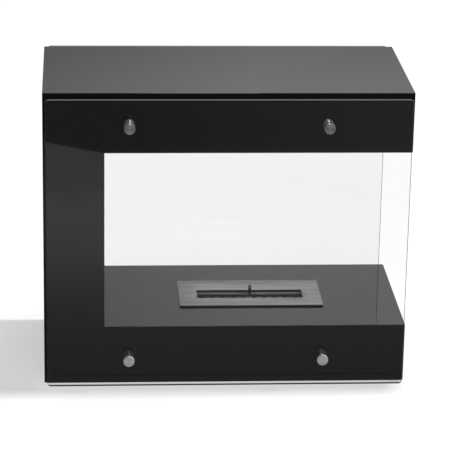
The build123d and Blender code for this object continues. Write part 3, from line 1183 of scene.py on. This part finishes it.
@dataclass
class Regulator:
    """The sheet that slides under the slot, with its upright handle."""

    wall: float = 0.0015
    lip_end_margin: float = 0.0095
    bend: float = 0.0014
    bend_steps: int = 5
    set_back: float = 0.00005

    def build(self) -> None:
        """Model the folded sheet and dress its handle."""
        self.sheet()
        dress_node("slider_handle", HANDLE_PAINT)
        LOG.info("regulator: slider and handle")

    def sheet(self) -> None:
        """The sheet, its front edge folded down, a hair behind the handle that is let into it."""
        low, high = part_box("slider_plate")
        front = low.y + self.set_back
        lip_back = front + self.wall
        lip_left, lip_right = low.x + self.lip_end_margin, high.x - self.lip_end_margin
        underside = high.z - self.wall
        sheet = add_block("slider_sheet_folded", Vector((low.x, front, underside)), high)
        with editing(sheet):
            split_at(Y_AXIS, lip_back)
            split_at(X_AXIS, lip_left, lip_right)
            pick(sheet, Pick.FACES, lambda centre, normal: normal.z < -FACING
                 and centre.y < lip_back and lip_left < centre.x < lip_right)
            extrude(0.0, 0.0, low.z - underside)
            round_edges(sheet, lambda a, b: near(a.y, b.y, front) and near(a.z, b.z, high.z),
                        self.bend, self.bend_steps)
        tidied(sheet)
        stand_in(sheet, "slider_plate", Body.SLIDER, HEAT_DULLED)


# ---------------------------------------------------------------- studio

@dataclass
class StudioCamera:
    """The photograph's viewpoint, in metres and degrees, from a fit to the casing's corners."""

    place: tuple = (-0.24368, -3.69667, 1.51181)
    turned_right: float = 3.893
    tilted_down: float = 19.128
    rolled: float = 1.049
    focal_length_px: float = 2305.16
    frame_px: float = 452.0
    sensor_mm: float = 36.0
    sees_up_to: float = 100.0

    def build(self) -> None:
        """Make the camera and set it as the scene's."""
        yaw, pitch, roll = (
            math.radians(angle) for angle in (self.turned_right, self.tilted_down, self.rolled))
        ahead = Vector((math.sin(yaw) * math.cos(pitch), math.cos(yaw) * math.cos(pitch),
                        -math.sin(pitch)))
        level = Vector((math.cos(yaw), -math.sin(yaw), 0.0))
        above_level = level.cross(ahead)
        right = math.cos(roll) * level + math.sin(roll) * above_level
        above = -math.sin(roll) * level + math.cos(roll) * above_level
        camera = bpy.data.cameras.new("studio_camera")
        camera.sensor_width = self.sensor_mm
        camera.lens = self.focal_length_px * self.sensor_mm / self.frame_px
        camera.clip_end = self.sees_up_to
        stand = bpy.data.objects.new("studio_camera", camera)
        turn = Matrix((right, above, -ahead)).transposed().to_4x4()
        stand.matrix_world = Matrix.Translation(self.place) @ turn
        bpy.context.scene.collection.objects.link(stand)
        bpy.context.scene.camera = stand


@dataclass
class Lamp:
    """A rectangular soft lamp that is aimed at a point."""

    name: str
    place: tuple
    aim: tuple
    width: float
    height: float
    watts: float
    in_reflections: bool = True

    def build(self) -> None:
        """Make the lamp, which the camera never sees."""
        light = bpy.data.lights.new(self.name, "AREA")
        light.shape = "RECTANGLE"
        light.size = self.width
        light.size_y = self.height
        light.energy = self.watts
        lamp = bpy.data.objects.new(self.name, light)
        away = Vector(self.place) - Vector(self.aim)
        turn = away.to_track_quat("Z", "Y").to_matrix().to_4x4()
        lamp.matrix_world = Matrix.Translation(self.place) @ turn
        lamp.visible_camera = False
        lamp.visible_transmission = self.in_reflections
        lamp.visible_glossy = self.in_reflections
        bpy.context.scene.collection.objects.link(lamp)


@dataclass
class Studio:
    """A white floor and surround, three soft lamps, and the room that the gloss mirrors."""

    lamps: tuple = (
        Lamp("key_lamp", place=(5.0, 0.147, 3.0), aim=(0.0, 0.147, 0.25), width=0.31, height=0.6,
             watts=360.0, in_reflections=False),
        Lamp("top_lamp", place=(0.05, 0.04, 2.1), aim=(0.05, 0.041, 0.3), width=0.25, height=0.3,
             watts=4.5),
        Lamp("front_lamp", place=(0.05, -1.9, 1.6), aim=(0.0, -0.17, 0.25), width=0.3, height=0.3,
             watts=2.0),
    )
    floor_size: float = 60.0
    floor_drop: float = 0.0003
    floor_colour: str = "#d4d4d4"
    floor_lift: float = 0.425
    white: float = 1.06
    shadow_reach: tuple = (0.75, 1.6)
    white_behind: tuple = (0.2, 0.45)
    # The soft dark line along the front, a painted shadow where body and floor would keep the
    # light
    # from each other: its brightness on the left, beside the casing, and in front of it
    painted_shadow_level: tuple = (0.62, 0.66)
    painted_shadow_reach: tuple = (0.023, 0.066)
    painted_shadow_left: tuple = (-1.1, -0.8)
    painted_shadow_right: tuple = (-0.036, 0.008)
    ambient: float = 0.42
    # Brightness of the floor as the gloss mirrors it, by distance in metres from the casing
    mirrored_floor: tuple = (
        (0.0, 0.126), (0.10, 0.132), (0.28, 0.154), (0.44, 0.212), (0.60, 0.291), (0.72, 0.343),
        (0.96, 0.383), (1.10, 0.303), (1.60, 0.29))
    # The same beyond the near floor's far edge, and its change from left to right
    mirrored_beyond: tuple = ((0.0, 0.14), (1.28, 0.13), (1.37, 0.1), (2.0, 0.1))
    beyond_across: tuple = (-0.1, 0.5)
    beyond_share: tuple = (0.9, 1.4)
    # The near floor's far edge, as the column mirrors it: a point and a direction in plan
    edge_point: tuple = (-0.1859, -1.4384)
    edge_slope: float = 0.6465
    edge_blur: float = 0.0015
    # A ray that has crossed fewer faces of glass than this was mirrored by the pane itself
    pane_crossings: float = 3.5
    # The floor to the right of the casing, which its right-hand edges mirror
    right_side: tuple = (0.42, 0.5)
    right_front: tuple = (-1.1, -0.9)
    mirrored_right: float = 0.03
    # Brightness of the room as the gloss mirrors it, by the sine of the elevation
    mirrored_room: tuple = (
        (0.0, 0.08), (0.2, 0.3), (0.2538, 0.53), (0.2622, 0.61), (0.2705, 0.69), (0.3437, 0.69),
        (0.372, 0.78), (0.6, 0.8), (1.0, 0.6))
    room_left: float = 0.69
    room_sides: tuple = (-0.012, 0.075)
    # What is left of it in front of the casing, where the room is unlit
    room_front: float = 0.15
    room_middle: tuple = (-0.1, 0.1)

    def build(self) -> None:
        """Make the floor, the surround, the lamps and the camera."""
        bpy.context.scene.view_settings.view_transform = "Standard"
        self.floor()
        self.surround()
        for lamp in self.lamps:
            lamp.build()
        StudioCamera().build()
        LOG.info("studio: floor, surround, %d lamps and camera", len(self.lamps))

    @staticmethod
    def stepped(nodes: Nodes, value: Socket, steps: tuple) -> Socket:
        """Turn a value into a grey that runs straight from step to step.

        Args:
            nodes: The nodes to add to.
            value: The value, from 0 upwards.
            steps: Pairs of a value and the grey's brightness there, from a value of 0.

        Returns:
            The grey.
        """
        last = steps[-1][0]
        shade = nodes.add("ValToRGB", {"Fac": nodes.add("MapRange", (value, 0.0, last))})
        stops = shade.node.color_ramp.elements
        while len(stops) > 1:
            stops.remove(stops[-1])
        stops[0].position = 0.0
        stops[0].color = grey(steps[0][1])
        for place, brightness in steps[1:]:
            stops.new(place / last).color = grey(brightness)
        return shade

    @staticmethod
    def seen_and_mirrored(nodes: Nodes) -> tuple:
        """Tell the camera's rays from those that the gloss mirrors.

        Args:
            nodes: The nodes to add to.

        Returns:
            1 for a ray that comes from the camera, straight or through glass, and 1 for one that
            was mirrored before.
        """
        path = nodes.add("LightPath").node.outputs
        through = (path["Is Camera Ray"], path["Is Transmission Ray"])
        direct = nodes.add("Math", through, operation="MAXIMUM")
        mirrored = nodes.add("Math", (path["Glossy Depth"], 0.0), operation="GREATER_THAN")
        return direct, mirrored

    def floor(self) -> None:
        """The floor: white to the camera, its shadow real and painted, and graded from dark in the
        gloss.
        """
        deselect_all()
        bpy.ops.mesh.primitive_plane_add(
            size=self.floor_size, location=(0.0, 0.0, -self.floor_drop))
        floor = settled("studio_floor")
        made = bpy.data.materials.new("studio_floor")
        nodes = Nodes(made)
        place = nodes.add("TexCoord", out="Object")
        x, y = (nodes.add("SeparateXYZ", {"Vector": place}, axis) for axis in "XY")
        direct, mirrored = self.seen_and_mirrored(nodes)
        matt = nodes.add("BsdfDiffuse", {"Color": linear(self.floor_colour)})
        lift = nodes.add("Math", (direct, self.floor_lift), operation="MULTIPLY")
        seen = nodes.add("AddShader", (matt, nodes.add("Emission", {"Strength": lift})))
        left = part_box("front_panel")[0].x
        # The painted shadow along the front: a dimmer glow laid over the floor there
        level = (x, left - self.painted_shadow_reach[0], left, *self.painted_shadow_level)
        contact = nodes.add("Emission", {"Strength": nodes.add("MapRange", level)})
        distance = nodes.add("VectorMath", (place,), "Value", operation="LENGTH")
        far = nodes.add("MapRange", (distance, *self.shadow_reach))
        behind = nodes.add("MapRange", (y, *self.white_behind))
        out_of_shadow = nodes.add("Math", (far, behind), operation="MAXIMUM")
        plain = nodes.add("Emission", {"Strength": self.white})
        for share, over in ((self.painted_shadow_depth(nodes, x, y), contact), (out_of_shadow, plain)):
            cover = nodes.add("Math", (share, direct), operation="MULTIPLY")
            seen = nodes.add("MixShader", (cover, seen, over))
        image = nodes.add("Emission", {"Color": self.mirror_image(nodes, x, y)})
        surface = nodes.add("MixShader", (mirrored, seen, image))
        nodes.add("OutputMaterial", {"Surface": surface})
        floor.data.materials.append(made)

    def painted_shadow_depth(self, nodes: Nodes, x: Socket, y: Socket) -> Socket:
        """Find how deep a place of the floor is in the painted shadow along the front.

        Args:
            nodes: The nodes to add to.
            x: The place's X.
            y: The place's Y.

        Returns:
            The depth, from 0 to 1.
        """
        low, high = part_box("front_panel")
        inner, outer = self.painted_shadow_reach
        ahead = nodes.add("Math", (low.y, y), operation="SUBTRACT")
        depth = nodes.add("MapRange", (ahead, inner, outer, 1.0, 0.0))
        right_fade = (high.x + past for past in self.painted_shadow_right)
        for limits in ((ahead, -outer, 0.0), (x, *right_fade, 1.0, 0.0), (x, *self.painted_shadow_left)):
            share = nodes.add("MapRange", limits)
            depth = nodes.add("Math", (depth, share), operation="MULTIPLY")
        return depth

    def mirror_image(self, nodes: Nodes, x: Socket, y: Socket) -> Socket:
        """Find the floor's brightness in the gloss.

        It depends on the distance from the casing up to a slanted edge, is dark beyond the edge
        and darkest on the right. The pane and the enamel behind it mirror the edge as one line.

        Args:
            nodes: The nodes to add to.
            x: The place's X.
            y: The place's Y.

        Returns:
            The brightness, as a grey.
        """
        panel_low, panel_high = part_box("front_panel")
        pane_low, pane_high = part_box("front_glass_pane")
        outside = []
        for along, reach in ((x, panel_high.x), (y, -panel_low.y)):
            size = nodes.add("Math", (along,), operation="ABSOLUTE")
            past = nodes.add("Math", (size, reach), operation="SUBTRACT")
            outside.append(nodes.add("Math", (past, 0.0), operation="MAXIMUM"))
        away = nodes.add("CombineXYZ", outside)
        distance = nodes.add("VectorMath", (away,), "Value", operation="LENGTH")
        near_floor = self.stepped(nodes, distance, self.mirrored_floor)
        beyond = self.stepped(nodes, distance, self.mirrored_beyond)
        share = nodes.add("MapRange", (x, *self.beyond_across, *self.beyond_share))
        beyond = nodes.add("VectorMath", {0: beyond, "Scale": share}, operation="SCALE")
        crossings = nodes.add("LightPath", out="Transmission Depth")
        by_pane = nodes.add("Math", (crossings, self.pane_crossings), operation="LESS_THAN")
        gap = panel_low.y - (pane_low.y + pane_high.y) / 2
        moved = nodes.add("Math", (by_pane, 2 * gap), operation="MULTIPLY")
        edge = nodes.add("Math", (x, self.edge_slope), operation="MULTIPLY")
        for less in (y, moved):
            edge = nodes.add("Math", (edge, less), operation="SUBTRACT")
        at_edge = self.edge_slope * self.edge_point[0] - self.edge_point[1]
        blur = (at_edge - self.edge_blur, at_edge + self.edge_blur)
        past_edge = nodes.add("MapRange", (edge, *blur))
        side = nodes.add("MapRange", (x, *self.right_side))
        behind = nodes.add("MapRange", (y, *self.right_front))
        corner = nodes.add("Math", (side, behind), operation="MULTIPLY")
        return layered(nodes, near_floor, (past_edge, beyond), (corner, grey(self.mirrored_right)))

    def surround(self) -> None:
        """The surround: white to the camera, even light on the object, graded in the gloss."""
        world = bpy.data.worlds.new("studio_surround")
        bpy.context.scene.world = world
        nodes = Nodes(world)
        direct, mirrored = self.seen_and_mirrored(nodes)
        way = nodes.add("TexCoord", out="Generated")
        x, y, z = (nodes.add("SeparateXYZ", {"Vector": way}, axis) for axis in "XYZ")
        sideways = nodes.add("MapRange", (x, *self.room_sides, self.room_left, 1.0))
        lengthways = nodes.add("MapRange", (y, *self.room_middle, self.room_front, 1.0))
        share = nodes.add("Math", (sideways, lengthways), operation="MULTIPLY")
        graded = self.stepped(nodes, z, self.mirrored_room)
        room = nodes.add("VectorMath", {0: graded, "Scale": share}, operation="SCALE")
        colour = layered(nodes, grey(self.ambient), (direct, grey(self.white)), (mirrored, room))
        background = nodes.add("Background", {"Color": colour})
        nodes.add("OutputWorld", {"Surface": background})


def main() -> None:
    """Build the object's sub-assemblies in order, then the studio round them."""
    logging.basicConfig(level=logging.INFO, format="%(message)s")
    for part in (Casing(), Glazing(), Standoffs(), Burner(), Regulator(), Studio()):
        part.build()


if __name__ == "__main__":
    main()
